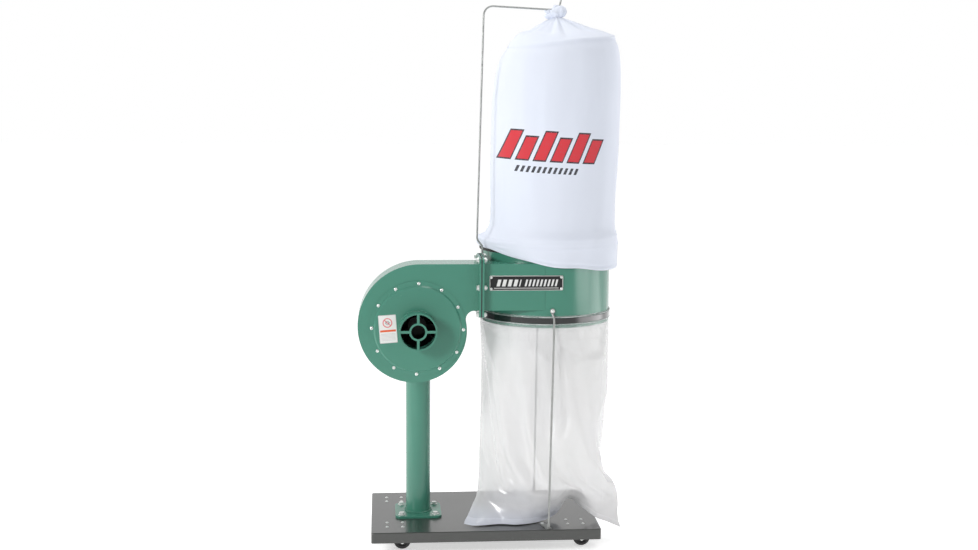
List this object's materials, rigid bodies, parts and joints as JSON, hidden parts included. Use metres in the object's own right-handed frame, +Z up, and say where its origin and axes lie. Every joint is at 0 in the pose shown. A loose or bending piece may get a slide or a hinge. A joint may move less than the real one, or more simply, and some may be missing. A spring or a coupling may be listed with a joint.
{
  "type": "dust collector",
  "caption": "Wheeled woodworking dust collector with a motor-driven radial blower on a column, a round collector drum, a hung cloth filter bag and a clear dust bag.",
  "frame": {"origin": "centre of the machine's footprint box, on the floor under the wheels", "axes": "+Z up, the fan's inlet faces -Y, the collector drum stands on the +X side of the blower"},
  "size_m": [0.701, 0.4082, 1.4346],
  "materials": {
    "green_paint": "satin enamel",
    "grey_paint": "hammered grey enamel",
    "zinc": "zinc plated",
    "steel": "machined",
    "cast_aluminium": "cast",
    "black_plastic": "moulded",
    "black_strap": "gloss black",
    "gasket_rubber": "sheet",
    "wheel_tread": "hard rubber",
    "felt": "needle felt",
    "clear_film": "clear polythene film",
    "plate_black": "printed plate",
    "label_white": "printed label",
    "red_plastic": "moulded",
    "copper_core": "laminated steel"
  },
  "bodies": {
    "machine": {"base_plate": "grey_paint", "caster_top_plates": "zinc", "caster_bolts": "zinc", "column_base_flange": "green_paint", "column_tube": "green_paint", "motor_saddle_plate": "green_paint", "column_bolts": "zinc", "volute_front_plate": "green_paint", "volute_back_plate": "green_paint", "volute_scroll_band": "green_paint", "inlet_cover": "green_paint", "inlet_port": "green_paint", "inlet_guard": "green_paint", "inlet_cover_screws": "zinc", "safety_label": "label_white", "volute_outlet_flange": "green_paint", "flange_gasket": "gasket_rubber", "collector_inlet_flange": "green_paint", "flange_bolts": "zinc", "collector_drum": "green_paint", "collector_inlet_duct": "green_paint", "nameplate": "plate_black", "nameplate_rivets": "zinc", "filter_bag": "felt", "filter_bag_snap_band": "zinc", "bag_hanger_rod": "zinc", "dust_bag": "clear_film", "dust_bag_clamp_band": "black_strap", "support_rod_front": "zinc", "support_rod_rear": "zinc", "support_rod_screws": "zinc", "motor_front_bell": "cast_aluminium", "motor_barrel": "cast_aluminium", "motor_rear_bell": "cast_aluminium", "motor_bearings": "steel", "motor_stator_core": "copper_core", "motor_fan_cover": "black_plastic", "motor_foot": "cast_aluminium", "motor_foot_bolts": "zinc", "blower_motor_screws": "zinc", "capacitor_cover": "black_plastic", "start_capacitor": "black_plastic", "switch_box": "black_plastic", "cord_gland": "black_plastic"},
    "rotor": {"motor_shaft": "steel", "motor_rotor_core": "copper_core", "motor_cooling_fan": "black_plastic", "impeller": "steel", "impeller_bolt": "zinc"},
    "clamp_lever": {"dust_bag_clamp_lever": "zinc"},
    "clamp_bail": {"dust_bag_clamp_bail": "zinc"},
    "rocker": {"switch_rocker": "red_plastic"},
    "swivel_front_left": {"caster_fork_front_left": "zinc"},
    "wheel_front_left": {"caster_wheel_front_left": "wheel_tread"},
    "swivel_front_right": {"caster_fork_front_right": "zinc"},
    "wheel_front_right": {"caster_wheel_front_right": "wheel_tread"},
    "swivel_rear_left": {"caster_fork_rear_left": "zinc"},
    "wheel_rear_left": {"caster_wheel_rear_left": "wheel_tread"},
    "swivel_rear_right": {"caster_fork_rear_right": "zinc"},
    "wheel_rear_right": {"caster_wheel_rear_right": "wheel_tread"}
  },
  "joints": [
    {"name": "impeller_spin", "type": "hinge", "parent": "machine", "child": "rotor", "pos_m": [-0.19853, -0.06361, 0.597], "axis": [0, 1, 0], "continuous": true},
    {"name": "switch_rock", "type": "hinge", "parent": "machine", "child": "rocker", "pos_m": [-0.32153, 0.04739, 0.605], "axis": [0, 1, 0], "range_deg": [0, 20]},
    {"name": "clamp_lever_swing", "type": "hinge", "parent": "machine", "child": "clamp_lever", "pos_m": [0.23148, 0.17663, 0.615], "axis": [0, 0, 1], "range_deg": [0, 90]},
    {"name": "clamp_bail_swing", "type": "hinge", "parent": "clamp_lever", "child": "clamp_bail", "pos_m": [0.23879, 0.17338, 0.615], "axis": [0, 0, 1], "range_deg": [-106, 0]},
    {"name": "swivel_front_left", "type": "hinge", "parent": "machine", "child": "swivel_front_left", "pos_m": [-0.25653, -0.09361, 0.05], "axis": [0, 0, 1], "continuous": true},
    {"name": "roll_front_left", "type": "hinge", "parent": "swivel_front_left", "child": "wheel_front_left", "pos_m": [-0.23752, -0.09361, 0.0225], "axis": [0, 1, 0], "continuous": true},
    {"name": "swivel_front_right", "type": "hinge", "parent": "machine", "child": "swivel_front_right", "pos_m": [0.21948, -0.09361, 0.05], "axis": [0, 0, 1], "continuous": true},
    {"name": "roll_front_right", "type": "hinge", "parent": "swivel_front_right", "child": "wheel_front_right", "pos_m": [0.23847, -0.09361, 0.0225], "axis": [0, 1, 0], "continuous": true},
    {"name": "swivel_rear_left", "type": "hinge", "parent": "machine", "child": "swivel_rear_left", "pos_m": [-0.25653, 0.12939, 0.05], "axis": [0, 0, 1], "continuous": true},
    {"name": "roll_rear_left", "type": "hinge", "parent": "swivel_rear_left", "child": "wheel_rear_left", "pos_m": [-0.23752, 0.12939, 0.0225], "axis": [0, 1, 0], "continuous": true},
    {"name": "swivel_rear_right", "type": "hinge", "parent": "machine", "child": "swivel_rear_right", "pos_m": [0.21948, 0.12939, 0.05], "axis": [0, 0, 1], "continuous": true},
    {"name": "roll_rear_right", "type": "hinge", "parent": "swivel_rear_right", "child": "wheel_rear_right", "pos_m": [0.23847, 0.12939, 0.0225], "axis": [0, 1, 0], "continuous": true}
  ],
  "couplings": [
    {"joint": "clamp_bail_swing", "follows": "clamp_lever_swing", "ratio": -1.157}
  ]
}
